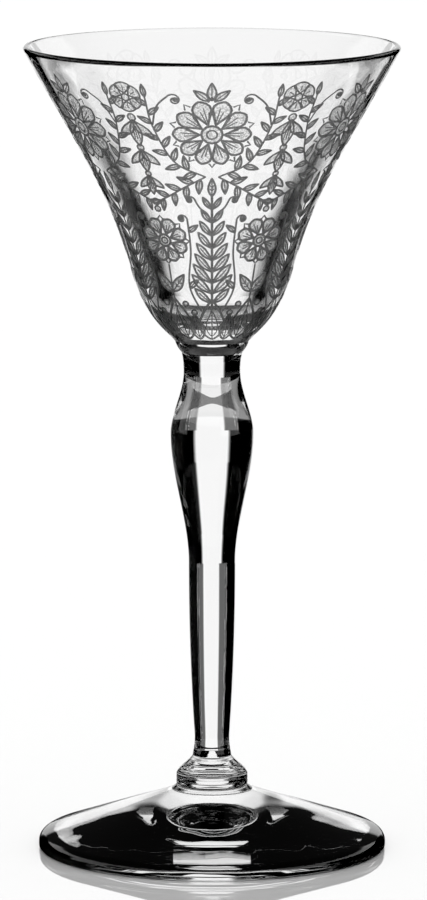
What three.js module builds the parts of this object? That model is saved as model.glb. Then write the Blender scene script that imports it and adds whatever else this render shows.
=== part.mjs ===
// A stemmed liqueur glass, made of five pieces of clear glass fused end to end:
// a foot, a ringed collar, a baluster stem, a joining wafer and a trumpet bowl.
// Millimetres, +Z up. The origin is the middle of the circle on which the foot stands.
import * as THREE from "three";

// Foot: a shallow cone, its edge round above and crisp below, hollowed so that only a ring touches the table
const FOOT_RADIUS = 28;
const FOOT_HEIGHT = 9.5;
const FOOT_EDGE_RADIUS = 1.6;
const FOOT_EDGE_WALL = 0.5;
const FOOT_HEEL_RADIUS = 0.5;
const REST_RING_WIDTH = 2.4;
const FOOT_HOLLOW = 3.4;

// Collar: a knop with tool rings, between the foot and the stem
const COLLAR_HEIGHT = 5.9;
const COLLAR_FLANGE_RADIUS = 6.5;
const COLLAR_FLANGE_HEIGHT = 0.8;
const COLLAR_KNOP_RADIUS = 5.75;
const COLLAR_KNOP_HEIGHT = 2.4;
const COLLAR_RINGS = 9;
const COLLAR_RING_DEPTH = 0.06;

// Stem: its radius at each station, and the lengths between the stations, from the collar upwards
const STEM_FOOT_RADIUS = 3.07;
const STEM_THIN_RADIUS = 2.78;
const STEM_SHANK_RADIUS = 3.73;
const STEM_BULGE_RADIUS = 6.65;
const STEM_NECK_RADIUS = 4.55;
const STEM_TOP_RADIUS = 4.95;
const FOOT_TO_THIN = 2.8;
const THIN_TO_SHANK = 28.3;
const SHANK_TO_BULGE = 21;
const BULGE_TO_NECK = 10;
const NECK_TO_TOP = 3.3;

// Wafer: the thin disc of glass that joins the bowl to the stem, with a rounded edge
const WAFER_THICKNESS = 1.8;
const WAFER_EDGE_BULGE = 0.3;

// Bowl: its outside stations, the wall's lean from upright at each, and how far each curve holds that lean
const BOWL_HEIGHT = 47.4;
const BOWL_BASE_RADIUS = 5.95;
const BOWL_WAIST_RADIUS = 12.9;
const BOWL_WAIST_HEIGHT = 11.3;
const BOWL_RIM_RADIUS = 30.1;
const BASE_LEAN = THREE.MathUtils.degToRad(33);
const WAIST_LEAN = THREE.MathUtils.degToRad(15.6);
const RIM_LEAN = THREE.MathUtils.degToRad(29.3);
const BASE_PULL = 1.5;
const SHOULDER_PULL = 8.5;
const BELL_PULL = 13;
const FLARE_PULL = 20;

// Bowl: its wall, from the thin lip to the thick bottom
const RIM_WALL = 1;
const WAIST_WALL = 1.8;
const BOTTOM_THICKNESS = 3;
const HEEL_PULL = 7;
const WELL_PULL = 6;

// Facets round the axis, along each curve and along each ring
const SIDES = 48;
const CURVE_STEPS = 6;
const RING_STEPS = 4;

// A point that lies a given pull from another, along a wall of a given lean from upright.
function along(point, lean, pull) {
  return new THREE.Vector2(point.x + pull * Math.sin(lean), point.y + pull * Math.cos(lean));
}

// Adds to an outline a smooth curve that leaves its last point towards one handle and arrives from another.
function curveTo(outline, leaving, arriving, end) {
  outline.bezierCurveTo(leaving.x, leaving.y, arriving.x, arriving.y, end.x, end.y);
}

// Adds a swell that is upright at both of its ends, a third of its height holding each lean.
function swellTo(outline, radius, height) {
  const from = outline.currentPoint.clone();
  const third = (height - from.y) / 3;
  outline.bezierCurveTo(from.x, from.y + third, radius, height - third, radius, height);
}

// The foot's cone runs straight from the collar's flange to the rounded edge, which it meets smoothly.
function footOutline() {
  const top = new THREE.Vector2(COLLAR_FLANGE_RADIUS, FOOT_HEIGHT);
  const heel = new THREE.Vector2(FOOT_RADIUS - FOOT_HEEL_RADIUS, FOOT_HEEL_RADIUS);
  const edge = new THREE.Vector2(FOOT_RADIUS - FOOT_EDGE_RADIUS, FOOT_HEEL_RADIUS + FOOT_EDGE_WALL);
  const reach = top.distanceTo(edge);
  const fall = Math.atan2(top.y - edge.y, edge.x - top.x) - Math.asin(FOOT_EDGE_RADIUS / reach);
  const hollowRadius = heel.x - REST_RING_WIDTH;
  const outline = new THREE.Path();
  outline.moveTo(0, FOOT_HOLLOW);
  outline.quadraticCurveTo(hollowRadius / 2, FOOT_HOLLOW, hollowRadius, 0);
  outline.lineTo(heel.x, 0);
  outline.absarc(heel.x, heel.y, FOOT_HEEL_RADIUS, -Math.PI / 2, 0);
  outline.absarc(edge.x, edge.y, FOOT_EDGE_RADIUS, 0, Math.PI / 2 - fall);
  outline.lineTo(top.x, top.y);
  outline.lineTo(0, top.y);
  return outline;
}

// The knop's plain radius: a short flange, an upright middle, and a shoulder drawn in to the stem.
function knopRadius(height) {
  if (height < COLLAR_FLANGE_HEIGHT) {
    const up = THREE.MathUtils.smoothstep(height, 0, COLLAR_FLANGE_HEIGHT);
    return THREE.MathUtils.lerp(COLLAR_FLANGE_RADIUS, COLLAR_KNOP_RADIUS, up);
  }
  const drawn = THREE.MathUtils.smoothstep(height, COLLAR_KNOP_HEIGHT, COLLAR_HEIGHT);
  return THREE.MathUtils.lerp(COLLAR_KNOP_RADIUS, STEM_FOOT_RADIUS, drawn);
}

// The tool rings are even waves from the foot to the stem, cut into the knop, none at its two ends.
function collarOutline() {
  const outline = new THREE.Path();
  outline.moveTo(0, 0);
  const steps = COLLAR_RINGS * RING_STEPS;
  for (let step = 0; step <= steps; step += 1) {
    const wave = (1 - Math.cos((2 * Math.PI * step) / RING_STEPS)) / 2;
    const height = (COLLAR_HEIGHT * step) / steps;
    outline.lineTo(knopRadius(height) - COLLAR_RING_DEPTH * wave, height);
  }
  outline.lineTo(0, COLLAR_HEIGHT);
  return outline;
}

// The baluster: a thin ankle, a long shank that thickens upwards, a high bulge and a drawn-in neck.
function stemOutline() {
  const thin = FOOT_TO_THIN;
  const shank = thin + THIN_TO_SHANK;
  const bulge = shank + SHANK_TO_BULGE;
  const neck = bulge + BULGE_TO_NECK;
  const top = neck + NECK_TO_TOP;
  const outline = new THREE.Path();
  outline.moveTo(0, 0);
  outline.lineTo(STEM_FOOT_RADIUS, 0);
  outline.quadraticCurveTo(STEM_THIN_RADIUS, thin / 2, STEM_THIN_RADIUS, thin);
  outline.quadraticCurveTo(STEM_SHANK_RADIUS, (thin + shank) / 2, STEM_SHANK_RADIUS, shank);
  swellTo(outline, STEM_BULGE_RADIUS, bulge);
  swellTo(outline, STEM_NECK_RADIUS, neck);
  outline.quadraticCurveTo(STEM_NECK_RADIUS, (neck + 2 * top) / 3, STEM_TOP_RADIUS, top);
  outline.lineTo(0, top);
  return outline;
}

// The wafer's edge widens from the stem to the bowl and stands a little proud of both.
function waferOutline() {
  const outline = new THREE.Path();
  outline.moveTo(0, 0);
  outline.lineTo(STEM_TOP_RADIUS, 0);
  const middle = (STEM_TOP_RADIUS + BOWL_BASE_RADIUS) / 2;
  outline.quadraticCurveTo(middle + WAFER_EDGE_BULGE, WAFER_THICKNESS / 2, BOWL_BASE_RADIUS, WAFER_THICKNESS);
  outline.lineTo(0, WAFER_THICKNESS);
  return outline;
}

// The bowl swells from its base to a bell-shaped waist and flares to a round lip, over a thick bottom.
function bowlOutline() {
  const lipRadius = RIM_WALL / 2;
  const lip = new THREE.Vector2(BOWL_RIM_RADIUS - lipRadius, BOWL_HEIGHT - lipRadius);
  const rimSide = new THREE.Vector2(Math.cos(RIM_LEAN), -Math.sin(RIM_LEAN)).multiplyScalar(lipRadius);
  const base = new THREE.Vector2(BOWL_BASE_RADIUS, 0);
  const waist = new THREE.Vector2(BOWL_WAIST_RADIUS, BOWL_WAIST_HEIGHT);
  const outerRim = lip.clone().add(rimSide);
  const innerRim = lip.clone().sub(rimSide);
  const inside = new THREE.Vector2(BOWL_WAIST_RADIUS - WAIST_WALL, BOWL_WAIST_HEIGHT);
  const well = new THREE.Vector2(0, BOTTOM_THICKNESS);
  const wellEdge = new THREE.Vector2(WELL_PULL, BOTTOM_THICKNESS);
  const outline = new THREE.Path();
  outline.moveTo(0, 0);
  outline.lineTo(base.x, base.y);
  curveTo(outline, along(base, BASE_LEAN, BASE_PULL), along(waist, WAIST_LEAN, -SHOULDER_PULL), waist);
  curveTo(outline, along(waist, WAIST_LEAN, BELL_PULL), along(outerRim, RIM_LEAN, -FLARE_PULL), outerRim);
  outline.absarc(lip.x, lip.y, lipRadius, -RIM_LEAN, Math.PI - RIM_LEAN);
  curveTo(outline, along(innerRim, RIM_LEAN, -FLARE_PULL), along(inside, WAIST_LEAN, BELL_PULL), inside);
  curveTo(outline, along(inside, WAIST_LEAN, -HEEL_PULL), wellEdge, well);
  return outline;
}

// Clear glass of one melt, polished by the fire.
function clearGlass() {
  return new THREE.MeshStandardMaterial({
    color: 0xf2f5f4,
    roughness: 0.03,
    metalness: 0,
    transparent: true,
    opacity: 0.35,
  });
}

// A piece turned about the glass's axis from its outline, which is given as radius and height.
function turned(name, outline) {
  const geometry = new THREE.LatheGeometry(outline.getPoints(CURVE_STEPS), SIDES);
  geometry.rotateX(Math.PI / 2);
  const piece = new THREE.Mesh(geometry, clearGlass());
  piece.name = name;
  return piece;
}

const STEM_LENGTH = FOOT_TO_THIN + THIN_TO_SHANK + SHANK_TO_BULGE + BULGE_TO_NECK + NECK_TO_TOP;

// Each piece stands on the one before it.
const stack = [
  { piece: turned("foot", footOutline()), height: FOOT_HEIGHT },
  { piece: turned("collar", collarOutline()), height: COLLAR_HEIGHT },
  { piece: turned("stem", stemOutline()), height: STEM_LENGTH },
  { piece: turned("wafer", waferOutline()), height: WAFER_THICKNESS },
  { piece: turned("bowl", bowlOutline()), height: BOWL_HEIGHT },
];

const glass = new THREE.Group();
let level = 0;
for (const { piece, height } of stack) {
  piece.position.z = level;
  glass.add(piece);
  level += height;
}

export default glass;
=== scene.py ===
"""A stemmed liqueur glass, its bowl etched with flowers and leaves, on a pale polished table."""

import math

import bpy
import numpy as np
from mathutils.geometry import delaunay_2d_cdt
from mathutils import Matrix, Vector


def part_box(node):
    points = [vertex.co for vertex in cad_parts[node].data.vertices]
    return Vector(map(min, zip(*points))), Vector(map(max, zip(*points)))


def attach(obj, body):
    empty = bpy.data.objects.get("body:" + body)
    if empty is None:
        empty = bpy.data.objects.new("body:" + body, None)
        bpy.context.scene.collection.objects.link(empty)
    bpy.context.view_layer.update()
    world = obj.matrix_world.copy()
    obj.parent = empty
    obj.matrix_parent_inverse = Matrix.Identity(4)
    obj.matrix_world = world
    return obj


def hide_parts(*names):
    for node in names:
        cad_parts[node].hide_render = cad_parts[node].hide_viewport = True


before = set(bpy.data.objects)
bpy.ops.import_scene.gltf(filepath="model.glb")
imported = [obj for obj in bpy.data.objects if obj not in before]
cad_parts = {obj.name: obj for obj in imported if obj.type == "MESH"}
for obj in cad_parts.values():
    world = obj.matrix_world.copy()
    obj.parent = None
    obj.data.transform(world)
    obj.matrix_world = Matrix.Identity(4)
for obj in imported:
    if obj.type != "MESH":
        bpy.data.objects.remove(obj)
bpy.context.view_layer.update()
MM = 0.001

# Tops of the pieces, in mm, from the frame
FOOT_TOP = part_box("foot")[1].z / MM
COLLAR_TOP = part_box("collar")[1].z / MM
STEM_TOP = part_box("stem")[1].z / MM
WAFER_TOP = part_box("wafer")[1].z / MM
RIM_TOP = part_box("bowl")[1].z / MM

# Greatest radii of the pieces, in mm, from the frame
FOOT_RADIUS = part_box("foot")[1].x / MM
RIM_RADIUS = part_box("bowl")[1].x / MM
FLANGE_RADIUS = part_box("collar")[1].x / MM
BULGE_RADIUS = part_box("stem")[1].x / MM
BASE_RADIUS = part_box("wafer")[1].x / MM

# Foot, in mm
EDGE_RADIUS = 1.6
EDGE_WALL = 0.5
HEEL_RADIUS = 0.5
REST_RING_WIDTH = 2.4
FOOT_HOLLOW = 3.4
HOLLOW_RADIUS = FOOT_RADIUS - HEEL_RADIUS - REST_RING_WIDTH

# Collar, in mm; a higher sharpness makes the grooves between its rings narrower
FLANGE_HEIGHT = 0.8
KNOP_RADIUS = 5.75
KNOP_HEIGHT = 2.4
RINGS = 9
RING_DEPTH = 0.03
RING_SHARPNESS = 3

# Stem, in mm
STEM_FOOT_RADIUS = 3.07
THIN_RADIUS = 2.78
SHANK_RADIUS = 3.73
NECK_RADIUS = 4.55
STEM_TOP_RADIUS = 4.95
FOOT_TO_THIN = 2.8
THIN_TO_SHANK = 28.3
SHANK_TO_BULGE = 21.0
BULGE_TO_NECK = 10.0

# Wafer, in mm
WAFER_BULGE = 0.3

# Bowl, in mm and radians: the wall's leans from upright, and how far a curve holds each of them
WAIST_RADIUS = 12.9
WAIST_RISE = 11.3
BASE_LEAN = math.radians(33)
WAIST_LEAN = math.radians(15.6)
RIM_LEAN = math.radians(29.3)
BASE_PULL = 1.5
SHOULDER_PULL = 8.5
BELL_PULL = 13.0
FLARE_PULL = 20.0
RIM_WALL = 1.0
WAIST_WALL = 1.8
BOTTOM_THICKNESS = 3.0
HEEL_PULL = 7.0
WELL_PULL = 6.0

# Etching: sectors round the bowl, each two mirrored halves, and the lines' widths and depth in mm
SECTORS = 6
HALF = math.pi / SECTORS
OUTLINE = 0.42
LEAF_LINE = 0.35
FINE = 0.32
HATCH = 0.20
GROOVE = 0.06

# Leaves longer than this have veins, in mm
VEINED_LEAF = 3.2

# The etching's chart: the steps of its corners up its sides and in its plain glass, the clearance of these
# from the strokes and the margin in which it is measured, all in mm; their columns in half a sector; and the
# least gap between two corners, in radians
SIDE_STEP = 1.0
GRID_STEP = 1.3
GRID_CLEARANCE = 0.4
GRID_MARGIN = 1.0
GRID_COLUMNS = 12
LEAST_GAP = 1e-6

# The bowl's flat map, 0 to 1 each way: its outside lies lowest, true to shape, and these bands above it
FLAT_MAP = "OFBake"
INSIDE_BAND = (0.56, 0.95)
JOINT_BAND = (0.97, 0.99)

# Facets round the axis and along curves, the decimals of a mm to which corners are joined, and the angle at
# which an edge is sharp
SEGMENTS = 288
CURVE_STEPS = 28
WALL_STEPS = 60
ARC_STEPS = 10
RING_STEPS = 16
DECIMALS = 4
SHARP = math.radians(35)

# Glass: the waves and the haze of its skin, in waves to the metre, with the waves' depth in mm
IOR = 1.5
WAVES = 110.0
WAVE_DEPTH = 0.12
HAZE_WAVES = 60.0
HAZE_SPAN = (0.3, 0.7)
HAZE = 0.02

# Frost: its grain in waves to the metre, roughness and greys from the grain's hollows to its peaks, the greys
# painted shade for the light that the frost scatters away, the share of it that light from inside the glass
# meets, and its depth in mm
FILL_FROST = {"scale": 3600.0, "roughness": (0.18, 0.46), "painted_greys": (0.95, 0.40), "inner_share": 0.05}
LINE_FROST = {"scale": 6000.0, "roughness": (0.45, 0.70), "painted_greys": (0.10, 0.04), "inner_share": 0.10}
FROST_SPAN = (0.35, 0.65)
FROST_DEPTH = 0.02

# World: turns in radians from +Y, and rises as sines, each pair the span of a soft edge; and its brightness
# where it is dark and to plain surfaces
SIDE_WINDOWS = (math.radians(-90), math.radians(135))
WINDOW_EDGE = (math.radians(14), math.radians(19))
WINDOW_TOP = (0.42, 0.50)
BACK_EDGE = (math.radians(22), math.radians(28))
BACK_HORIZON = (0.21, 0.26)
SIDE_HORIZON = (0.45, 0.52)
DARK = 0.02
ROOM_LIGHT = 1.05

# Table: half its width in m, its level in mm, its grey, and a polish that comes in at low angles
FLOOR_REACH = 6.0
FLOOR_LEVEL = -0.04
FLOOR_GREY = 0.97
POLISH_SPAN = (0.60, 0.85)
POLISH = 0.67
POLISH_ROUGHNESS = 0.02

# Angles of light to a black card, in radians: shallow to the first, steep between the next two, then overhead
SHALLOW = math.radians(20.5)
STEEP = math.radians(22)
OVERHEAD = math.radians(42)
SHEER = math.radians(52)

# Light's way to a card, in mm, is short to the first and long from the second
SHORT_WAY = 200.0
LONG_WAY = 210.0

# The least and the most bounces of the light that a card stops
ANY_BOUNCES = (1, 99)
ONE_BOUNCE = (1, 1)
LATE_BOUNCES = (4, 99)

# Black cards, painted shade seen only in the glass and the polish: their corners each way, their nearest and
# farthest mm from the glass's axis, and the distance and height of those that stand, in mm
CARD_ROWS = 25
CARD_COLUMNS = 49
NEAR_REACH = (29, 305)
FAR_REACH = (300, 1295)
LOW_REACH = (160, 305)
BASE_REACH = (29, 165)
LENS_REACH = (100, 240)
NECK_REACH = (100, 140)
MIDDLE_REACH = (100, 143.5)
FRONT_REACH = (300, 900)
GLARE_REACH = (29, 1295)
EDGE_REACH = (24, 45)
SCREEN_DISTANCE = 1290
SCREEN_HEIGHT = 400

# Sides of the cards that have a mirrored twin, in degrees from the back
VEIL_LAST = 29
FAR_FIRST = 15
BOWL_FIRST = (4, 6.5)
LOW_FIRST = 5
NECK_LOW_FIRST = 12
LOW_LAST = 34
LENS_TURNS = (56, 117)

# Sides of the other cards, in degrees from +Y towards +X, and the degrees over which a side fades
LENS_MIDDLE = (-20, 20)
NECK_MIDDLE = (-22, 22)
NEAR_RIGHT = (24, 117)
NEAR_LEFT = (-24, -207)
FRONT_RIGHT = (97, 117)
FRONT_LEFT = (-207, -105)
GLARE_LEFT = (-110, -70)
GLARE_RIGHT = (95, 158)
BASE_TURNS = (-100, 100)
EDGE_TURNS = (-172, 172)
SOFT_EDGE = 3.0

# Levels of the cards along Z, in mm
STEM_LEVEL = 0.5
LENS_LEVEL = 0.6
GLARE_LEVEL = 0.6
MIDDLE_LEVEL = 0.65
BOWL_LEVEL = 0.7
BASE_LEVEL = 0.8
EDGE_LEVEL = -0.02

# Pads under the foot, painted shade that darkens it: their corners from front to back and to the side; and in
# mm, how far they end from the hollow's front and side, and the gap that parts them, as (distance behind the
# axis, half width)
PAD_ROWS = 61
PAD_COLUMNS = 25
PAD_END = 0.5
PAD_SIDE = 0.1
PARTING = [(-26, 6.0), (-9, 6.0), (-6, 1.2), (26, 1.2)]

# Camera: the photograph's view, in mm, radians and pixels, and the farthest m that it shows
CAMERA_ASIDE = 0.24
CAMERA_BACK = 1154.67
CAMERA_HEIGHT = 241.69
CAMERA_PITCH = 0.152035
FOCAL_PIXELS = 7274.22
IMAGE_HEIGHT = 900
SENSOR = 36.0
FARTHEST = 100


def point(r, z):
    return np.array([r, z], float)


def along(start, lean, pull):
    """The point that lies a pull from another, along a wall of a lean from upright."""
    return start + pull * point(math.sin(lean), math.cos(lean))


def line(start, end, steps=1):
    share = np.linspace(0, 1, steps + 1)[:, None]
    return start + share * (end - start)


def bezier(start, leaving, arriving, end, steps=CURVE_STEPS):
    """A curve that leaves its start towards one handle and arrives at its end from another."""
    t = np.linspace(0, 1, steps + 1)[:, None]
    s = 1 - t
    return s**3 * start + 3 * s * s * t * leaving + 3 * s * t * t * arriving + t**3 * end


def bow(start, handle, end):
    """A curve with one handle for both of its ends."""
    return bezier(start, (start + 2 * handle) / 3, (end + 2 * handle) / 3, end)


def arc(middle, radius, first, last):
    turn = np.linspace(first, last, ARC_STEPS + 1)
    return middle + radius * np.stack([np.cos(turn), np.sin(turn)], 1)


def swell(start, end):
    """A curve that is upright at both of its ends."""
    third = (end[1] - start[1]) / 3
    return bezier(start, start + point(0, third), end - point(0, third), end)


def joined(*curves):
    """One curve out of several that meet end to end."""
    return np.vstack([curves[0]] + [curve[1:] for curve in curves[1:]])


def smooth(x, low, high):
    """A smooth change from 0 at low to 1 at high."""
    t = min(max((x - low) / (high - low), 0), 1)
    return t * t * (3 - 2 * t)


def lengths_along(profile):
    """How far along a profile each of its points lies."""
    return np.concatenate([[0], np.cumsum(np.linalg.norm(np.diff(profile, axis=0), axis=1))])


def foot_profile():
    heel = point(FOOT_RADIUS - HEEL_RADIUS, HEEL_RADIUS)
    edge = point(FOOT_RADIUS - EDGE_RADIUS, HEEL_RADIUS + EDGE_WALL)
    top = point(FLANGE_RADIUS, FOOT_TOP)
    reach = top - edge
    fall = math.atan2(reach[1], -reach[0]) - math.asin(EDGE_RADIUS / np.linalg.norm(reach))
    shoulder = arc(edge, EDGE_RADIUS, 0, math.pi / 2 - fall)
    hollow_edge = point(HOLLOW_RADIUS, 0)
    skin = [
        bow(point(0, FOOT_HOLLOW), point(HOLLOW_RADIUS / 2, FOOT_HOLLOW), hollow_edge),
        line(hollow_edge, point(heel[0], 0)),
        arc(heel, HEEL_RADIUS, -math.pi / 2, 0),
        shoulder,
        line(shoulder[-1], top, CURVE_STEPS),
    ]
    return [("clear", joined(*skin)), ("joint", line(top, point(0, FOOT_TOP)))]


def knop_radius(height):
    """The collar's radius without its rings, at a height over the foot."""
    if height < FLANGE_HEIGHT:
        return FLANGE_RADIUS + (KNOP_RADIUS - FLANGE_RADIUS) * smooth(height, 0, FLANGE_HEIGHT)
    drawn = smooth(height, KNOP_HEIGHT, COLLAR_TOP - FOOT_TOP)
    return KNOP_RADIUS + (STEM_FOOT_RADIUS - KNOP_RADIUS) * drawn


def collar_profile():
    tall = COLLAR_TOP - FOOT_TOP
    heights = np.linspace(0, tall, RINGS * RING_STEPS + 1)
    waves = ((1 - np.cos(2 * math.pi * RINGS * heights / tall)) / 2) ** RING_SHARPNESS
    radii = np.array([knop_radius(h) for h in heights]) - RING_DEPTH * waves
    skin = np.stack([radii, heights + FOOT_TOP], 1)
    return [
        ("joint", line(point(0, FOOT_TOP), skin[0])),
        ("clear", skin),
        ("joint", line(skin[-1], point(0, COLLAR_TOP))),
    ]


def stem_profile():
    low = point(STEM_FOOT_RADIUS, COLLAR_TOP)
    thin = point(THIN_RADIUS, COLLAR_TOP + FOOT_TO_THIN)
    shank = point(SHANK_RADIUS, thin[1] + THIN_TO_SHANK)
    bulge = point(BULGE_RADIUS, shank[1] + SHANK_TO_BULGE)
    neck = point(NECK_RADIUS, bulge[1] + BULGE_TO_NECK)
    top = point(STEM_TOP_RADIUS, STEM_TOP)
    skin = [
        bow(low, point(THIN_RADIUS, (low[1] + thin[1]) / 2), thin),
        bow(thin, point(SHANK_RADIUS, (thin[1] + shank[1]) / 2), shank),
        swell(shank, bulge),
        swell(bulge, neck),
        bow(neck, point(NECK_RADIUS, (neck[1] + 2 * top[1]) / 3), top),
    ]
    return [
        ("joint", line(point(0, COLLAR_TOP), low)),
        ("clear", joined(*skin)),
        ("joint", line(top, point(0, STEM_TOP))),
    ]


def wafer_profile():
    low = point(STEM_TOP_RADIUS, STEM_TOP)
    top = point(BASE_RADIUS, WAFER_TOP)
    handle = (low + top) / 2 + point(WAFER_BULGE, 0)
    return [
        ("joint", line(point(0, STEM_TOP), low)),
        ("clear", bow(low, handle, top)),
        ("joint", line(top, point(0, WAFER_TOP))),
    ]


def bowl_lip():
    """The middle of the round lip, and the step from it to the wall's outside."""
    lip = point(RIM_RADIUS - RIM_WALL / 2, RIM_TOP - RIM_WALL / 2)
    return lip, RIM_WALL / 2 * point(math.cos(RIM_LEAN), -math.sin(RIM_LEAN))


def bowl_outside():
    lip, side = bowl_lip()
    rim = lip + side
    base = point(BASE_RADIUS, WAFER_TOP)
    waist = point(WAIST_RADIUS, WAFER_TOP + WAIST_RISE)
    shoulder = (along(base, BASE_LEAN, BASE_PULL), along(waist, WAIST_LEAN, -SHOULDER_PULL))
    flare = (along(waist, WAIST_LEAN, BELL_PULL), along(rim, RIM_LEAN, -FLARE_PULL))
    return joined(bezier(base, *shoulder, waist, WALL_STEPS), bezier(waist, *flare, rim, WALL_STEPS))


def bowl_inside():
    """The lip, and the inside down to the middle of the bottom."""
    lip, side = bowl_lip()
    rim = lip - side
    waist = point(WAIST_RADIUS - WAIST_WALL, WAFER_TOP + WAIST_RISE)
    well = point(0, WAFER_TOP + BOTTOM_THICKNESS)
    flare = (along(rim, RIM_LEAN, -FLARE_PULL), along(waist, WAIST_LEAN, BELL_PULL))
    heel = (along(waist, WAIST_LEAN, -HEEL_PULL), well + point(WELL_PULL, 0))
    round_lip = arc(lip, RIM_WALL / 2, -RIM_LEAN, math.pi - RIM_LEAN)
    return joined(round_lip, bezier(rim, *flare, waist), bezier(waist, *heel, well))


class Shell:
    """The faces of one closed piece, each with its finish; corners that touch become one when it is built."""

    def __init__(self):
        self.corners = []
        self.faces = []
        self.finishes = []
        self.normals = []
        self.places = []

    def add(self, corners, faces, finishes, normals=None, places=None):
        """Corners in mm, and faces as lists of their numbers.

        A face's corners may have normals of their own, and places on a flat map, from 0 to 1 each way."""
        first = sum(len(some) for some in self.corners)
        self.corners.append(np.asarray(corners, float))
        for k, face in enumerate(faces):
            self.faces.append([first + corner for corner in face])
            self.normals.extend([(0, 0, 0)] * len(face) if normals is None else normals[k])
            self.places.extend([(0, 0)] * len(face) if places is None else places[k])
        self.finishes.extend(finishes)

    def turn(self, profile, finish, band=None):
        """The surface that a profile of (radius, height) sweeps round Z, facing right of the profile's way.

        The band is its lowest and highest place on the flat map, if it has one."""
        angles = np.arange(SEGMENTS) * 2 * math.pi / SEGMENTS
        rings = [np.stack([r * np.cos(angles), r * np.sin(angles), 0 * angles + z], 1) for r, z in profile]
        lengths = lengths_along(profile)
        levels = np.interp(lengths, (0, lengths[-1]), band or (0, 0))
        faces, places = [], []
        for row, (low, high) in enumerate(zip(levels, levels[1:])):
            first = row * SEGMENTS
            for k in range(SEGMENTS):
                n = (k + 1) % SEGMENTS
                faces.append((first + k, first + n, first + SEGMENTS + n, first + SEGMENTS + k))
                left, right = k / SEGMENTS, (k + 1) / SEGMENTS
                places.append(((left, low), (right, low), (right, high), (left, high)))
        self.add(np.vstack(rings), faces, [finish] * len(faces), places=places if band else None)

    def build(self, name, materials):
        """The piece as an object, with the material of each finish."""
        spots, numbers = np.unique(np.round(np.vstack(self.corners), DECIMALS), axis=0, return_inverse=True)
        numbers = numbers.reshape(-1)
        slots = {finish: k for k, finish in enumerate(materials)}
        faces, skins, normals, flat, at = [], [], [], [], 0
        for face, finish in zip(self.faces, self.finishes):
            ring = numbers[face]
            keep = [k for k in range(len(face)) if ring[k] != ring[k - 1]]
            if len(keep) > 2:
                faces.append([int(ring[k]) for k in keep])
                normals.extend(self.normals[at + k] for k in keep)
                flat.extend(self.places[at + k] for k in keep)
                skins.append(slots[finish])
            at += len(face)
        mesh = bpy.data.meshes.new(name)
        mesh.from_pydata(spots * MM, [], faces)
        for material in materials.values():
            mesh.materials.append(material)
        mesh.polygons.foreach_set("material_index", skins)
        mesh.polygons.foreach_set("use_smooth", [True] * len(faces))
        mesh.set_sharp_from_angle(angle=SHARP)
        if np.any(flat):
            mesh.uv_layers.new(name=FLAT_MAP).uv.foreach_set("vector", np.ravel(flat))
        if np.any(normals):
            mesh.normals_split_custom_set(normals)
        piece = bpy.data.objects.new(name, mesh)
        bpy.context.scene.collection.objects.link(piece)
        return piece


def turned_piece(name, stretches, materials):
    """A piece turned from stretches of profile, each with its finish."""
    shell = Shell()
    for finish, profile in stretches:
        shell.turn(profile, finish)
    return shell.build(name, materials)


class Wall:
    """The bowl's outside as a chart of complex numbers, turn + 1j * climb, that keeps small shapes true."""

    def __init__(self, profile):
        self.r, self.z = profile.T
        self.s = lengths_along(profile)
        self.climb = np.concatenate([[0], np.cumsum(np.diff(self.s) * 2 / (self.r[1:] + self.r[:-1]))])
        self.tall = self.s[-1]
        self.lean = np.arctan2(np.gradient(self.r, self.s), np.gradient(self.z, self.s))

    def radius(self, spots):
        return np.interp(np.imag(spots), self.climb, self.r)

    def spot(self, share, height):
        """A place on the chart: share of the half sector from its axis, mm up the wall from its base."""
        return share * HALF + 1j * np.interp(height, self.s, self.climb)

    def place(self, spots, axis, side, depth):
        """Points in mm and their normals, for spots on one side of a sector's axis.

        The points are let into the wall by a depth."""
        turn = axis + side * spots.real
        lean = np.interp(spots.imag, self.climb, self.lean)
        normals = np.stack([np.cos(lean) * np.cos(turn), np.cos(lean) * np.sin(turn), -np.sin(lean)], 1)
        r = self.radius(spots)
        z = np.interp(spots.imag, self.climb, self.z)
        return np.stack([r * np.cos(turn), r * np.sin(turn), z], 1) - depth[:, None] * normals, normals


class Drawing:
    """Lines and filled areas on a wall's chart, with their widths in mm."""

    def __init__(self, wall):
        self.wall = wall
        self.lines = []
        self.areas = []

    def put(self, shape, spot, tilt=0.0):
        """A shape in mm, laid on the chart at a spot and turned left by a tilt."""
        return spot + np.asarray(shape) * np.exp(1j * tilt) / self.wall.radius(spot)

    def line(self, points, width, closed=False):
        self.lines.append((np.asarray(points), width, closed))

    def shape(self, outline, spot, tilt=0.0, width=OUTLINE):
        """A closed outline whose inside is filled."""
        laid = self.put(outline, spot, tilt)
        self.line(laid, width, closed=True)
        self.areas.append(laid)


def ease(steps):
    """Steps from 0 to 1, closer together at both ends."""
    return (1 - np.cos(np.linspace(0, math.pi, steps + 1))) / 2


def blade(length, width, fullest=0.45, bend=0.0, steps=9):
    """A closed leaf from 0 to 1j * length, pointed at both ends, fullest at a share of its length."""
    t = ease(steps)
    power = math.log(0.5) / math.log(fullest)
    half = width / 2 * np.sin(math.pi * t**power)
    spine = 1j * length * t + bend * length * t * t
    return np.concatenate([spine - half, (spine + half)[-2:0:-1]])


def petal(length, width, start=0.0, steps=9):
    """A closed petal from 1j * start to 1j * length, with a narrow foot and a round tip."""
    t = ease(steps)
    half = width / 2 * np.sin(math.pi * t**1.7) ** 0.7
    spine = 1j * (start + (length - start) * t)
    return np.concatenate([spine - half, (spine + half)[-2:0:-1]])


def circle(radius, steps=12):
    return radius * np.exp(2j * math.pi * np.arange(steps) / steps)


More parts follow.
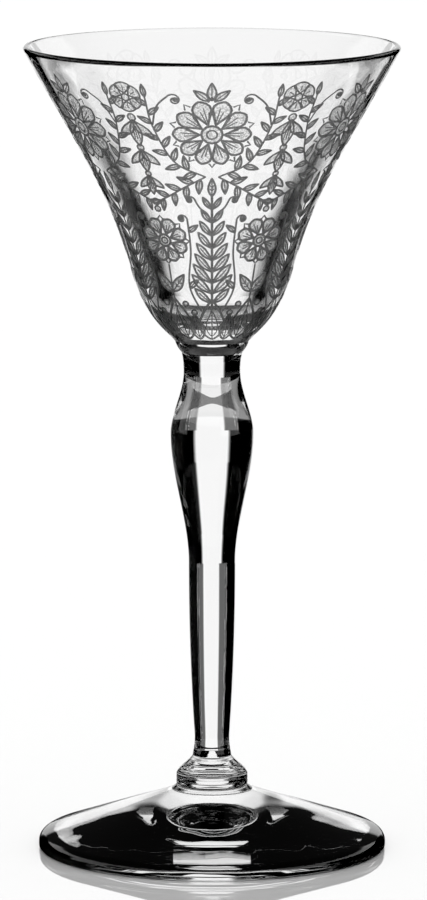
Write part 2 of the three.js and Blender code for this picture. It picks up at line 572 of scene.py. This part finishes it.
def smooth_path(points, steps=8):
    """A smooth path through points."""
    points = np.asarray(points, complex)
    ends = np.concatenate([[2 * points[0] - points[1]], points, [2 * points[-1] - points[-2]]])
    t = np.linspace(0, 1, steps, endpoint=False)
    path = []
    for a, b, c, d in zip(ends, ends[1:], ends[2:], ends[3:]):
        bend = (2 * a - 5 * b + 4 * c - d) / 2
        twist = (3 * b - a - 3 * c + d) / 2
        path.append(b + t * (c - a) / 2 + t**2 * bend + t**3 * twist)
    return np.concatenate(path + [points[-1:]])


def curl(size, turns, steps=22):
    """A spiral in mm that winds left from the origin, where it sets out along +1j, into its middle."""
    t = np.linspace(0, 1, steps)
    turn = 2 * math.pi * turns * t
    path = size * (1 - 0.82 * t**0.8) * np.exp(1j * turn)
    return path - path[0]


def daisy(drawing, spot, radius, petals):
    """A round flower: hatched petals with sepals between their tips, about a button of two rings."""
    button = 0.27 * radius
    width = 4.4 * radius / petals
    step = 2 * math.pi / petals
    for k in range(petals):
        turn = (k + 0.5) * step
        drawing.shape(petal(radius, width, 1.12 * button), spot, turn)
        for aside, reach in ((-0.42, 0.66), (-0.16, 0.80), (0.14, 0.72), (0.40, 0.60)):
            vein = [aside * width * 0.3 + 1.5j * button, aside * width * 0.78 + 1j * radius * reach]
            drawing.line(drawing.put(vein, spot, turn), HATCH)
        sepal = [0.95j * radius - 0.18 * width, 1.08j * radius, 0.95j * radius + 0.18 * width]
        drawing.line(drawing.put(sepal, spot, turn + step / 2), FINE)
    drawing.shape(circle(button), spot)
    drawing.shape(circle(button / 2), spot, width=FINE)


def blossom(drawing, spot, radius, petals):
    """A small flower of broad petals, each with one vein."""
    for k in range(petals):
        turn = 2 * math.pi * k / petals
        drawing.shape(petal(radius, 0.95 * radius, 0.25 * radius), spot, turn, FINE)
        drawing.line(drawing.put([0.45j * radius, 0.75j * radius], spot, turn), HATCH)
    drawing.shape(circle(0.24 * radius), spot, width=FINE)


def leaf(drawing, spot, tilt, length, width, bend=0.0):
    """A pointed leaf with a midrib, and veins where it is long."""
    drawing.shape(blade(length, width, 0.42, bend), spot, tilt, LEAF_LINE)
    t = np.linspace(0.0, 0.86, 5)
    drawing.line(drawing.put(1j * length * t + bend * length * t * t, spot, tilt), HATCH)
    for share in (0.3, 0.5) if length > VEINED_LEAF else ():
        root = 1j * length * share + bend * length * share**2
        for side in (-1, 1):
            vein = [root, root + side * 0.30 * width + 0.13j * length]
            drawing.line(drawing.put(vein, spot, tilt), HATCH)


def stations(path, shares):
    """Places at shares of a path's length, each with the tilt of the path there."""
    steps = np.abs(np.diff(path))
    lengths = np.concatenate([[0], np.cumsum(steps)])
    tilts = np.angle(np.diff(path)) - math.pi / 2
    for share in shares:
        at = share * lengths[-1]
        k = min(np.searchsorted(lengths, at, "right"), len(steps)) - 1
        yield path[k] + (path[k + 1] - path[k]) * (at - lengths[k]) / steps[k], tilts[k]


def end_tilt(path):
    """The tilt of a path's last step."""
    return np.angle(path[-1] - path[-2]) - math.pi / 2


def spray(drawing, path, leaves, longest, shortest):
    """A stem with leaves on either side in turn, shorter towards its tip, and one at the tip."""
    drawing.line(path, FINE)
    shares = np.linspace(0.1, 0.92, leaves)
    for k, (spot, tilt) in enumerate(stations(path, shares)):
        side = 1 if k % 2 else -1
        length = longest + (shortest - longest) * shares[k]
        leaf(drawing, spot, tilt + 0.8 * side, length, 0.36 * length, -0.12 * side)
    leaf(drawing, path[-1], end_tilt(path), shortest, 0.36 * shortest)


def frond(drawing, path, pairs, longest, shortest):
    """A fern: a stem with pairs of slim leaflets, and one at its tip."""
    drawing.line(path, OUTLINE)
    shares = np.linspace(0.05, 0.9, pairs)
    for share, (spot, tilt) in zip(shares, stations(path, shares)):
        length = (longest + (shortest - longest) * share) * min(1.0, 0.65 + 2 * share)
        for side in (-1, 1):
            lean = tilt + side * (0.95 - 0.25 * share)
            drawing.shape(blade(length, 0.29 * length, 0.55, 0.16 * side), spot, lean, LEAF_LINE)
            t = np.linspace(0.12, 0.75, 4)
            drawing.line(drawing.put(1j * length * t + 0.16 * side * length * t * t, spot, lean), HATCH)
    leaf(drawing, path[-1], 0.0, 1.4 * shortest, 0.5 * shortest)


def berry(drawing, spot, size):
    drawing.shape(circle(size, 9), spot, width=FINE)


def husk(drawing, spot, size):
    """A hanging bellflower: a long middle lobe between two that curl out, under a small bead."""
    for side in (-1, 1):
        lobe = blade(0.95 * size, 0.40 * size, 0.55, -0.35 * side)
        drawing.shape(lobe, spot, math.pi + 0.42 * side, LEAF_LINE)
    drawing.shape(blade(1.15 * size, 0.46 * size, 0.5), spot, math.pi, LEAF_LINE)
    for aside in (-0.11, 0.0, 0.11):
        vein = [(0.5 * aside - 0.25j) * size, (aside - 0.85j) * size]
        drawing.line(drawing.put(vein, spot), HATCH)
    berry(drawing, drawing.put(0.1j * size, spot), 0.15 * size)


def tendril(drawing, points, size, turns, side, leaves=()):
    """A stem through points that ends in a curl, to the left where side is 1, with a berry in its middle.

    It has leaves at shares of the stem's length."""
    path = smooth_path(points)
    wound = curl(size, turns)
    wound = wound if side > 0 else -np.conj(wound)
    end = drawing.put(wound, path[-1], end_tilt(path))
    drawing.line(np.concatenate([path, end[1:]]), FINE)
    berry(drawing, end[-1], 0.34)
    for spot, tilt in stations(path, leaves):
        leaf(drawing, spot, tilt - 0.75 * side, 1.9, 0.8, 0.15 * side)


def calyx(drawing, spot, length, width):
    """A pointed leaf of the ring that stands round the bowl's base, with an inner leaf and a rib."""
    drawing.line(drawing.put(blade(length, width, 0.42), spot), OUTLINE, closed=True)
    inner = 0.12j * length + blade(0.68 * length, 0.46 * width, 0.42)
    drawing.line(drawing.put(inner, spot), HATCH, closed=True)
    drawing.line(drawing.put([0.05j * length, 0.9j * length], spot), HATCH)


def draw_upper_band(drawing):
    """A large daisy, a leafy branch, a blossom over a chain of bellflowers, and a festoon, below the lip."""
    wall = drawing.wall

    def below(share, drop):
        return wall.spot(share, wall.tall - drop)

    daisy(drawing, below(0, 12.7), radius=6.2, petals=10)
    leaf(drawing, below(0, 6.1), tilt=0.0, length=3.2, width=1.4)
    leaf(drawing, below(0.04, 6.2), tilt=-0.75, length=2.9, width=1.2, bend=0.1)
    branch = [below(0.10, 20.8), below(0.54, 18.0), below(0.74, 11.5), below(0.76, 5.6)]
    spray(drawing, smooth_path(branch), leaves=11, longest=2.7, shortest=2.3)
    shoot = [below(0.74, 11.0), below(0.64, 7.4), below(0.48, 5.2)]
    tendril(drawing, shoot, size=1.2, turns=1.3, side=1)
    blossom(drawing, below(1, 5.9), radius=2.8, petals=6)
    for drop, size in ((10.2, 4.6), (15.9, 3.9), (20.8, 3.2)):
        husk(drawing, below(1, drop), size)
    festoon = [below(0.10, 20.8), below(0.40, 22.6), below(0.70, 24.4), below(0.90, 25.4)]
    spray(drawing, smooth_path(festoon), leaves=7, longest=2.9, shortest=2.2)
    for drop in (25.6, 27.0):
        berry(drawing, below(1, drop), size=0.5)


def draw_lower_band(drawing):
    """A frond, a small daisy on its stalk, tendrils, and the ring of pointed leaves round the base."""
    spot = drawing.wall.spot
    stalk = np.linspace(spot(0, 8.6), spot(0, drawing.wall.tall - 24.4), 20)
    frond(drawing, stalk, pairs=9, longest=4.8, shortest=2.3)
    daisy(drawing, spot(1, 20.2), radius=3.9, petals=8)
    drawing.line(np.linspace(spot(1, 8.6), spot(1, 16.0), 8), FINE)
    leaf(drawing, spot(1, 11.4), tilt=0.75, length=3.6, width=1.5, bend=0.1)
    vine = [spot(0.30, 8.0), spot(0.54, 12.4), spot(0.45, 18.4), spot(0.46, 24.2)]
    tendril(drawing, vine, size=0.9, turns=1.25, side=-1, leaves=(0.3, 0.88))
    shoot = [spot(0.06, 24.8), spot(0.22, 26.4), spot(0.30, 28.0)]
    tendril(drawing, shoot, size=0.8, turns=1.25, side=-1)
    for share, length, width in ((0.0, 6.4, 3.0), (0.5, 4.6, 1.7), (1.0, 6.4, 3.0)):
        calyx(drawing, spot(share, 1.5), length, width)
    for share, height in ((0.5, 7.6), (0.71, 9.2)):
        berry(drawing, spot(share, height), size=0.45)


def draw_etching(wall):
    """Half of one sector, from the axis of its large daisy to the axis of its chain of bellflowers."""
    drawing = Drawing(wall)
    draw_upper_band(drawing)
    draw_lower_band(drawing)
    return drawing


def inside(spots, outline):
    """Whether each spot lies inside a closed outline."""
    within = np.zeros(len(spots), bool)
    for a, b in zip(outline, np.roll(outline, -1)):
        if a.imag != b.imag:
            level = (a.imag > spots.imag) != (b.imag > spots.imag)
            across = a.real + (spots.imag - a.imag) / (b.imag - a.imag) * (b.real - a.real)
            within ^= level & (spots.real < across)
    return within


def near(spots, points, margin):
    """The numbers of the spots in the box round points, widened by a margin."""
    low, high = points.real.min() - margin, points.real.max() + margin
    under, over = points.imag.min() - margin, points.imag.max() + margin
    wide = (spots.real > low) & (spots.real < high)
    return np.flatnonzero(wide & (spots.imag > under) & (spots.imag < over))


def distance(spots, points, closed):
    """How far each spot lies from a path, on the chart."""
    ends = np.roll(points, -1) if closed else points[1:]
    best = np.full(len(spots), np.inf)
    for start, end in zip(points, ends):
        way = end - start
        share = np.clip(((spots - start) * np.conj(way)).real / abs(way) ** 2, 0, 1)
        best = np.minimum(best, np.abs(spots - start - share * way))
    return best


def depth_in_strokes(spots, drawing, thinnest, margin):
    """How deep each spot lies in the strokes: 1 in the middle of one, 0 at its edge, and less outside.

    Strokes thinner than the thinnest don't count, nor do spots farther from a stroke than a margin in mm."""
    deep = np.full(len(spots), -np.inf)
    for points, width, closed in drawing.lines:
        if width < thinnest:
            continue
        close = near(spots, points, margin / drawing.wall.radius(points).min())
        away = distance(spots[close], points, closed) * drawing.wall.radius(spots[close])
        deep[close] = np.maximum(deep[close], 1 - away / (width / 2))
    return deep


def stroke_edges(wall, points, width, closed):
    """The outlines of a stroke on the chart."""
    if closed:
        heading = np.roll(points, -1) - np.roll(points, 1)
    else:
        heading = np.gradient(points)
    aside = 1j * heading / np.abs(heading) * width / 2 / wall.radius(points)
    if closed:
        return [points + aside, points - aside]
    return [np.concatenate([points + aside, (points - aside)[::-1]])]


def chart_border(wall):
    """The four sides of half a sector, with the corners that the lip and the base need."""
    turns = np.linspace(0, HALF, SEGMENTS // SECTORS // 2 + 1)
    climbs = np.interp(np.arange(0, wall.tall, SIDE_STEP), wall.s, wall.climb)[1:]
    top = wall.climb[-1]
    return np.concatenate([turns, HALF + 1j * climbs, turns[::-1] + 1j * top, 1j * climbs[::-1]])


def chart_grid(drawing):
    """Places between the strokes, so that the plain glass there follows the wall's curve."""
    wall = drawing.wall
    heights = np.arange(GRID_STEP, wall.tall - GRID_STEP / 2, GRID_STEP)
    turns = np.linspace(0, HALF, GRID_COLUMNS + 1)[1:-1]
    grid = (turns[None, :] + 1j * np.interp(heights, wall.s, wall.climb)[:, None]).ravel()
    deep = depth_in_strokes(grid, drawing, 0.0, GRID_MARGIN)
    return grid[deep < 1 - (OUTLINE / 2 + GRID_CLEARANCE) / (OUTLINE / 2)]


def etched_chart(drawing):
    """Triangles over half a sector that follow every stroke.

    Gives the corners, the triangles, the triangles' finishes and the corners' depths."""
    wall = drawing.wall
    corners, edges = list(chart_grid(drawing)), []

    def follow(points, closed):
        first, count = len(corners), len(points)
        corners.extend(points)
        edges.extend((first + k, first + (k + 1) % count) for k in range(count if closed else count - 1))

    follow(chart_border(wall), True)
    for points, width, closed in drawing.lines:
        if points.real.max() < 0 or points.real.min() > HALF:
            continue
        for edge in stroke_edges(wall, points, width, closed):
            follow(edge, True)
        if width > HATCH:
            follow(points, closed)
    found = delaunay_2d_cdt([(c.real, c.imag) for c in corners], edges, [], 0, LEAST_GAP, False)
    spots = np.array([complex(*place) for place in found[0]])
    triangles = np.array(found[2])
    middles = spots[triangles].mean(axis=1)
    across = (middles.real > 0) & (middles.real < HALF)
    kept = across & (middles.imag > 0) & (middles.imag < wall.climb[-1])
    triangles, middles = triangles[kept], middles[kept]
    finishes = np.full(len(triangles), "clear", object)
    for area in drawing.areas:
        close = near(middles, area, 0.0)
        finishes[close[inside(middles[close], area)]] = "fill"
    finishes[depth_in_strokes(middles, drawing, 0.0, OUTLINE) > 0] = "line"
    deep = np.clip(depth_in_strokes(spots, drawing, FINE, OUTLINE), 0, 1)
    return spots, triangles, finishes, deep * GROOVE


def etched_bowl(name, materials):
    """The bowl: its outside etched, in mirrored half sectors, and its lip, inside and bottom turned."""
    wall = Wall(bowl_outside())
    spots, triangles, finishes, depth = etched_chart(draw_etching(wall))
    shell = Shell()
    for sector in range(SECTORS):
        axis = 2 * HALF * sector - math.pi / 2
        for side in (1, -1):
            corners, normals = wall.place(spots, axis, side, depth)
            faces = triangles if side > 0 else triangles[:, ::-1]
            across = 2 * HALF * sector + HALF + side * spots.real
            flat = np.stack([across, spots.imag], 1) / (2 * math.pi)
            shell.add(corners, faces, finishes, normals[faces], flat[faces])
    shell.turn(bowl_inside(), "clear", INSIDE_BAND)
    shell.turn(line(point(0, WAFER_TOP), point(BASE_RADIUS, WAFER_TOP)), "joint", JOINT_BAND)
    return shell.build(name, materials)


def new_material(name):
    material = bpy.data.materials.new(name)
    material.use_nodes = True
    material.node_tree.nodes.clear()
    return material, material.node_tree


def node(tree, kind, *values, **settings):
    """A shader node: its settings are made, and its first inputs set to values or linked to outputs."""
    made = tree.nodes.new("ShaderNode" + kind)
    for key, value in settings.items():
        setattr(made, key, value)
    for socket, value in zip(made.inputs, values):
        if isinstance(value, bpy.types.NodeSocket):
            tree.links.new(value, socket)
        elif value is not None:
            socket.default_value = value
    return made


def sums(tree, operation, *values):
    return node(tree, "Math", *values, operation=operation).outputs[0]


def ramp(tree, value, low, high, start, end):
    """Start below low, end above high, and a smooth change between them."""
    return node(tree, "MapRange", value, low, high, start, end, interpolation_type="SMOOTHSTEP").outputs[0]


def grain(tree, scale, detail):
    """A field of noise from 0 to 1 that keeps to the piece; the scale is in waves to the metre."""
    place = node(tree, "TexCoord").outputs["Object"]
    return node(tree, "TexNoise", place, None, scale, detail).outputs["Fac"]


def glass(tree, roughness, height, depth):
    """A glass shader with a rough or wavy skin, whose waves are of a depth in mm."""
    skin = node(tree, "Bump")
    skin.inputs["Distance"].default_value = depth * MM
    tree.links.new(height, skin.inputs["Height"])
    shader = node(tree, "BsdfPrincipled")
    shader.inputs["Base Color"].default_value = (1, 1, 1, 1)
    shader.inputs["IOR"].default_value = IOR
    shader.inputs["Transmission Weight"].default_value = 1
    tree.links.new(roughness, shader.inputs["Roughness"])
    tree.links.new(skin.outputs[0], shader.inputs["Normal"])
    return shader


def clear_glass():
    """Fire-polished glass: slow faint waves in its skin, and a trace of haze."""
    material, tree = new_material("clear_glass")
    haze = ramp(tree, grain(tree, HAZE_WAVES, detail=2.0), *HAZE_SPAN, 0.0, HAZE)
    shader = glass(tree, haze, grain(tree, WAVES, detail=1.0), WAVE_DEPTH)
    node(tree, "OutputMaterial", shader.outputs[0])
    return material


def etched_glass(name, scale, roughness, painted_greys, inner_share):
    """Frosted glass of a fine grain; roughness and greys are for the grain's hollows and its peaks, the greys
    painted shade for the light that the frost scatters away.

    Light that meets it from inside the glass meets only a share of the frost."""
    material, tree = new_material(name)
    from_inside = node(tree, "NewGeometry").outputs["Backfacing"]
    share = ramp(tree, from_inside, 0.0, 1.0, 1.0, inner_share)
    frost = grain(tree, scale, detail=3.0)
    rough = sums(tree, "MULTIPLY", share, ramp(tree, frost, *FROST_SPAN, *roughness))
    shader = glass(tree, rough, sums(tree, "MULTIPLY", share, frost), FROST_DEPTH)
    # Painted shade: the frost's colour darkens from the hollows' grey to the peaks' grey
    hollows, peaks = painted_greys
    dark = sums(tree, "MULTIPLY", share, ramp(tree, frost, *FROST_SPAN, 1 - hollows, 1 - peaks))
    grey = sums(tree, "SUBTRACT", 1.0, dark)
    colour = node(tree, "CombineColor", grey, grey, grey).outputs[0]
    tree.links.new(colour, shader.inputs["Base Color"])
    node(tree, "OutputMaterial", shader.outputs[0])
    return material


def fused_joint():
    """The face where two pieces are fused, which doesn't show."""
    material = bpy.data.materials.new("fused_joint")
    material.use_nodes = True
    shader = material.node_tree.nodes["Principled BSDF"]
    shader.inputs["Alpha"].default_value = 0
    return material


def make_world(scene):
    """White to the eye; the glass looks into white windows, in a dark room with a white horizon."""
    world = bpy.data.worlds.new("studio")
    scene.world = world
    world.use_nodes = True
    tree = world.node_tree
    tree.nodes.clear()
    path = node(tree, "LightPath").outputs
    way = node(tree, "SeparateXYZ", node(tree, "TexCoord").outputs["Generated"]).outputs
    turn = sums(tree, "ARCTAN2", way["X"], way["Y"])
    aside = sums(tree, "ABSOLUTE", turn)
    window = ramp(tree, aside, *WINDOW_EDGE, 1.0, 0.0)
    for middle in SIDE_WINDOWS:
        off = sums(tree, "WRAP", sums(tree, "SUBTRACT", turn, middle), math.pi, -math.pi)
        other = ramp(tree, sums(tree, "ABSOLUTE", off), *WINDOW_EDGE, 1.0, 0.0)
        window = sums(tree, "MAXIMUM", window, other)
    window = sums(tree, "MULTIPLY", window, ramp(tree, way["Z"], *WINDOW_TOP, 1.0, 0.0))
    low = ramp(tree, way["Z"], *BACK_HORIZON, 1.0, DARK)
    high = ramp(tree, way["Z"], *SIDE_HORIZON, 1.0, DARK)
    behind = ramp(tree, aside, *BACK_EDGE, 1.0, 0.0)
    horizon = node(tree, "Mix", behind, None, high, low, data_type="FLOAT").outputs[0]
    passing = sums(tree, "MULTIPLY", window, path["Is Transmission Ray"])
    reflected = sums(tree, "MULTIPLY", path["Is Glossy Ray"], path["Is Reflection Ray"])
    mirrored = sums(tree, "MULTIPLY", horizon, reflected)
    plain = sums(tree, "MULTIPLY", path["Is Diffuse Ray"], ROOM_LIGHT)
    light = sums(tree, "MAXIMUM", sums(tree, "MAXIMUM", passing, mirrored), plain)
    light = sums(tree, "MAXIMUM", light, path["Is Camera Ray"])
    background = node(tree, "Background", (1, 1, 1, 1), light)
    node(tree, "OutputWorld", background.outputs[0])


def floor_material():
    """A pale table with a polish that shows at a low angle; plain white through the glass."""
    material, tree = new_material("pale_table")
    facing = node(tree, "LayerWeight", 0.5).outputs["Facing"]
    share = ramp(tree, facing, *POLISH_SPAN, 0.0, POLISH)
    matte = node(tree, "BsdfDiffuse", (FLOOR_GREY, FLOOR_GREY, FLOOR_GREY, 1)).outputs[0]
    polish = node(tree, "BsdfGlossy", (1, 1, 1, 1), POLISH_ROUGHNESS).outputs[0]
    table = node(tree, "MixShader", share, matte, polish).outputs[0]
    white = node(tree, "Emission", (1, 1, 1, 1), 1.0).outputs[0]
    through = node(tree, "LightPath").outputs["Is Transmission Ray"]
    node(tree, "OutputMaterial", node(tree, "MixShader", through, table, white).outputs[0])
    return material


def make_floor(scene):
    signs = ((-1, -1), (1, -1), (1, 1), (-1, 1))
    corners = [(x * FLOOR_REACH, y * FLOOR_REACH, FLOOR_LEVEL * MM) for x, y in signs]
    mesh = bpy.data.meshes.new("floor")
    mesh.from_pydata(corners, [], [(0, 1, 2, 3)])
    mesh.materials.append(floor_material())
    floor = bpy.data.objects.new("floor", mesh)
    scene.collection.objects.link(floor)


# Painted shade: cards of this material darken what the glass shows of the table and the room, and nothing
# else sees them
def flag_material(name, bounces=ANY_BOUNCES, shallow=1.0, steep=(1.0, 1.0), overhead=0.0, joints=0):
    """Black from above, to light that has bounced a number of times and crossed at least so many joints.

    Shallow, steep and overhead are the shares that it stops of light at these angles to it; steep has one
    share for a short way from the glass and one for a long way."""
    material, tree = new_material(name)
    path = node(tree, "LightPath").outputs
    shade = node(tree, "Attribute", attribute_name="shade").outputs["Fac"]
    above = sums(tree, "SUBTRACT", 1.0, node(tree, "NewGeometry").outputs["Backfacing"])
    enough = sums(tree, "GREATER_THAN", path["Ray Depth"], bounces[0] - 0.5)
    few = sums(tree, "LESS_THAN", path["Ray Depth"], bounces[1] + 0.5)
    crossed = sums(tree, "GREATER_THAN", path["Transparent Depth"], joints - 0.5)
    facing = node(tree, "LayerWeight", 0.5).outputs["Facing"]
    share = ramp(tree, path["Ray Length"], SHORT_WAY * MM, LONG_WAY * MM, *steep)
    share = ramp(tree, facing, 1 - math.sin(STEEP), 1 - math.sin(SHALLOW), share, shallow)
    share = ramp(tree, facing, 1 - math.sin(SHEER), 1 - math.sin(OVERHEAD), overhead, share)
    cover = shade
    for part in (above, enough, few, crossed, share):
        cover = sums(tree, "MULTIPLY", cover, part)
    clear = node(tree, "BsdfTransparent").outputs[0]
    black = node(tree, "Emission", (0, 0, 0, 1), 0.0).outputs[0]
    node(tree, "OutputMaterial", node(tree, "MixShader", cover, clear, black).outputs[0])
    return material


def card(name, material, verts, faces, shades, facing=(0, 0, 1)):
    """A stage card of painted shade that faces one way and shows only in and through the glass and the
    polish.
    """
    mesh = bpy.data.meshes.new(name)
    mesh.from_pydata(verts, [], faces)
    mesh.attributes.new("shade", "FLOAT", "POINT").data.foreach_set("value", shades)
    face = mesh.polygons[len(mesh.polygons) // 2]
    if face.normal.dot(facing) < 0:
        mesh.flip_normals()
    mesh.materials.append(material)
    made = bpy.data.objects.new(name, mesh)
    bpy.context.scene.collection.objects.link(made)
    made.visible_camera = False
    made.visible_diffuse = False
    made.visible_shadow = False
    mesh.normals_split_custom_set_from_vertices([facing] * len(verts))


def grid_faces(first, rows, columns, turned=False):
    """The faces of a grid of corners, numbered row by row from the first."""
    faces = []
    for low in range(first, first + (rows - 1) * columns, columns):
        for k in range(low, low + columns - 1):
            face = (k, k + 1, k + columns + 1, k + columns)
            faces.append(face[::-1] if turned else face)
    return faces


def polar(away, degrees, height):
    """A point in m, from mm away from the axis, degrees from +Y towards +X, and mm up."""
    turn = math.radians(degrees)
    return (away * math.sin(turn) * MM, away * math.cos(turn) * MM, height * MM)


def flag(name, material, reach, first, last, level=STEM_LEVEL, soft=SOFT_EDGE, shade=1.0):
    """A black card of painted shade on the table, of a shade from 0 to 1 that fades at its two sides.

    First and last are the degrees at its sides, either one number or one for each end of its reach."""
    spans = [np.broadcast_to(pair, 2) for pair in (reach, first, last)]
    columns = np.linspace(0, 1, CARD_COLUMNS)
    verts, shades = [], []
    for row in np.linspace(0, 1, CARD_ROWS):
        away, start, end = (np.interp(row, (0, 1), span) for span in spans)
        for turn in start + columns * (end - start):
            verts.append(polar(away, turn, level))
            shades.append(shade * min(1.0, min(abs(turn - start), abs(end - turn)) / soft))
    card(name, material, verts, grid_faces(0, CARD_ROWS, CARD_COLUMNS), shades)


def screen(name, material, first, last):
    """A black card of painted shade that stands on the table round the glass, facing it, between two turns
    in degrees.
    """
    verts, shades = [], []
    for height in (0, SCREEN_HEIGHT):
        for turn in np.linspace(first, last, CARD_COLUMNS):
            verts.append(polar(SCREEN_DISTANCE, turn, height))
            shades.append(min(1.0, min(turn - first, last - turn) / SOFT_EDGE))
    middle = verts[CARD_COLUMNS // 2]
    faces = grid_faces(0, 2, CARD_COLUMNS)
    card(name, material, verts, faces, shades, (-middle[0], -middle[1], 0))


def pad(name, material, drop, trim=0.0):
    """A black pad of painted shade in two halves in the hollow under the foot, a drop in mm below the glass.

    It ends a trim in mm short of the hollow's edge."""
    reach = HOLLOW_RADIUS - trim
    columns = np.linspace(0, 1, PAD_COLUMNS)
    verts, faces = [], []
    for side in (-1, 1):
        first = len(verts)
        for y in np.linspace(PAD_END - reach, reach - PAD_END, PAD_ROWS):
            inner = np.interp(y, *zip(*PARTING))
            outer = max(inner, math.sqrt(reach * reach - y * y) - PAD_SIDE)
            for x in inner + columns * (outer - inner):
                z = FOOT_HOLLOW * (1 - (x * x + y * y) / (HOLLOW_RADIUS * HOLLOW_RADIUS)) - drop
                verts.append((side * x * MM, y * MM, max(z, drop / 3) * MM))
        faces.extend(grid_faces(first, PAD_ROWS, PAD_COLUMNS, side < 0))
    card(name, material, verts, faces, [1.0] * len(verts))


def card_materials():
    """The kinds of black card that paint shade into the glass, by the part that they darken or by what they
    stop.
    """
    return {
        "stem": flag_material("stem_card", steep=(0.7, 0.0)),
        "lens": flag_material("lens_card", shallow=0.0, steep=(1.0, 0.0)),
        "open": flag_material("open_card", steep=(0.0, 0.0)),
        "bowl": flag_material("bowl_card", LATE_BOUNCES, overhead=0.98),
        "black": flag_material("black_card"),
        "glare": flag_material("glare_card", ONE_BOUNCE),
        "screen": flag_material("screen_card", overhead=1.0),
        "pad": flag_material("pad_card", overhead=1.0, joints=2),
        "deep": flag_material("deep_card", LATE_BOUNCES),
    }


def lay_side_cards(kinds, name, side, veil_first, far_last):
    """The cards of one side; side is 1 to the right and -1 to the left."""
    stem, bowl, lens = kinds["stem"], kinds["bowl"], kinds["lens"]
    far = (FAR_FIRST * side, far_last * side)
    bowl_first = [degrees * side for degrees in BOWL_FIRST]
    lens_turns = [degrees * side for degrees in LENS_TURNS]
    flag("veil_" + name, stem, NEAR_REACH, veil_first * side, VEIL_LAST * side, soft=2.0, shade=0.86)
    flag("far_" + name, stem, FAR_REACH, *far)
    flag("bowl_" + name, bowl, FAR_REACH, bowl_first, far_last * side, BOWL_LEVEL)
    flag("bowl_low_" + name, bowl, LOW_REACH, LOW_FIRST * side, LOW_LAST * side, BOWL_LEVEL)
    flag("lens_" + name, lens, LENS_REACH, *lens_turns, LENS_LEVEL, soft=40.0, shade=0.9)
    flag("neck_low_" + name, lens, NECK_REACH, NECK_LOW_FIRST * side, LOW_LAST * side, LENS_LEVEL, soft=6.0)
    flag("neck_" + name, lens, NECK_REACH, *lens_turns, LENS_LEVEL, soft=6.0)
    screen("screen_" + name, kinds["screen"], min(far), max(far))


def lay_other_cards(kinds):
    """The cards behind, beside and before the glass that have no mirrored twin."""
    stem, lens, glare = kinds["stem"], kinds["lens"], kinds["glare"]
    flag("lens_middle", lens, LENS_REACH, *LENS_MIDDLE, LENS_LEVEL, soft=2.0, shade=0.15)
    flag("neck_middle", lens, MIDDLE_REACH, *NECK_MIDDLE, MIDDLE_LEVEL, soft=4.0, shade=0.8)
    flag("near_right", stem, NEAR_REACH, *NEAR_RIGHT, soft=2.0)
    flag("near_left", stem, NEAR_REACH, *NEAR_LEFT, soft=2.0)
    flag("front_right", stem, FRONT_REACH, *FRONT_RIGHT)
    flag("front_left", stem, FAR_REACH, *FRONT_LEFT)
    flag("glare_left", glare, FAR_REACH, *GLARE_LEFT, GLARE_LEVEL)
    flag("glare_right", glare, GLARE_REACH, *GLARE_RIGHT, GLARE_LEVEL)
    screen("screen_front", kinds["screen"], *FRONT_LEFT)
    flag("base_card", kinds["bowl"], BASE_REACH, *BASE_TURNS, BASE_LEVEL)


def lay_foot_cards(kinds):
    """The pads under the foot and a card round its edge, painted shade that darkens the foot."""
    pad("underlay", kinds["open"], drop=0.15)
    pad("pad", kinds["pad"], drop=0.4)
    pad("deep_pad", kinds["deep"], drop=0.65, trim=5.0)
    flag("edge_card", kinds["black"], EDGE_REACH, *EDGE_TURNS, EDGE_LEVEL, soft=1.0)


def make_camera(scene):
    data = bpy.data.cameras.new("camera")
    data.sensor_width = SENSOR
    data.lens = FOCAL_PIXELS * SENSOR / IMAGE_HEIGHT
    data.clip_end = FARTHEST
    camera = bpy.data.objects.new("camera", data)
    camera.location = (CAMERA_ASIDE * MM, -CAMERA_BACK * MM, CAMERA_HEIGHT * MM)
    camera.rotation_euler = (math.pi / 2 - CAMERA_PITCH, 0, 0)
    scene.collection.objects.link(camera)
    scene.camera = camera


scene = bpy.context.scene
scene.view_settings.view_transform = "Standard"

FINISHES = {
    "clear": clear_glass(),
    "joint": fused_joint(),
    "fill": etched_glass("etched_fill", **FILL_FROST),
    "line": etched_glass("etched_line", **LINE_FROST),
}
PLAIN = {finish: FINISHES[finish] for finish in ("clear", "joint")}
TURNED = {
    "foot": foot_profile(),
    "collar": collar_profile(),
    "stem": stem_profile(),
    "wafer": wafer_profile(),
}
for solid, stretches in TURNED.items():
    piece = turned_piece(solid + "_glass", stretches, PLAIN)
    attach(piece, "root")
    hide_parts(solid)
bowl = etched_bowl("bowl_glass", FINISHES)
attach(bowl, "root")
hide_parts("bowl")

make_floor(scene)
cards = card_materials()
lay_side_cards(cards, "right", 1, veil_first=14, far_last=100)
lay_side_cards(cards, "left", -1, veil_first=11, far_last=75)
lay_other_cards(cards)
lay_foot_cards(cards)
make_world(scene)
make_camera(scene)
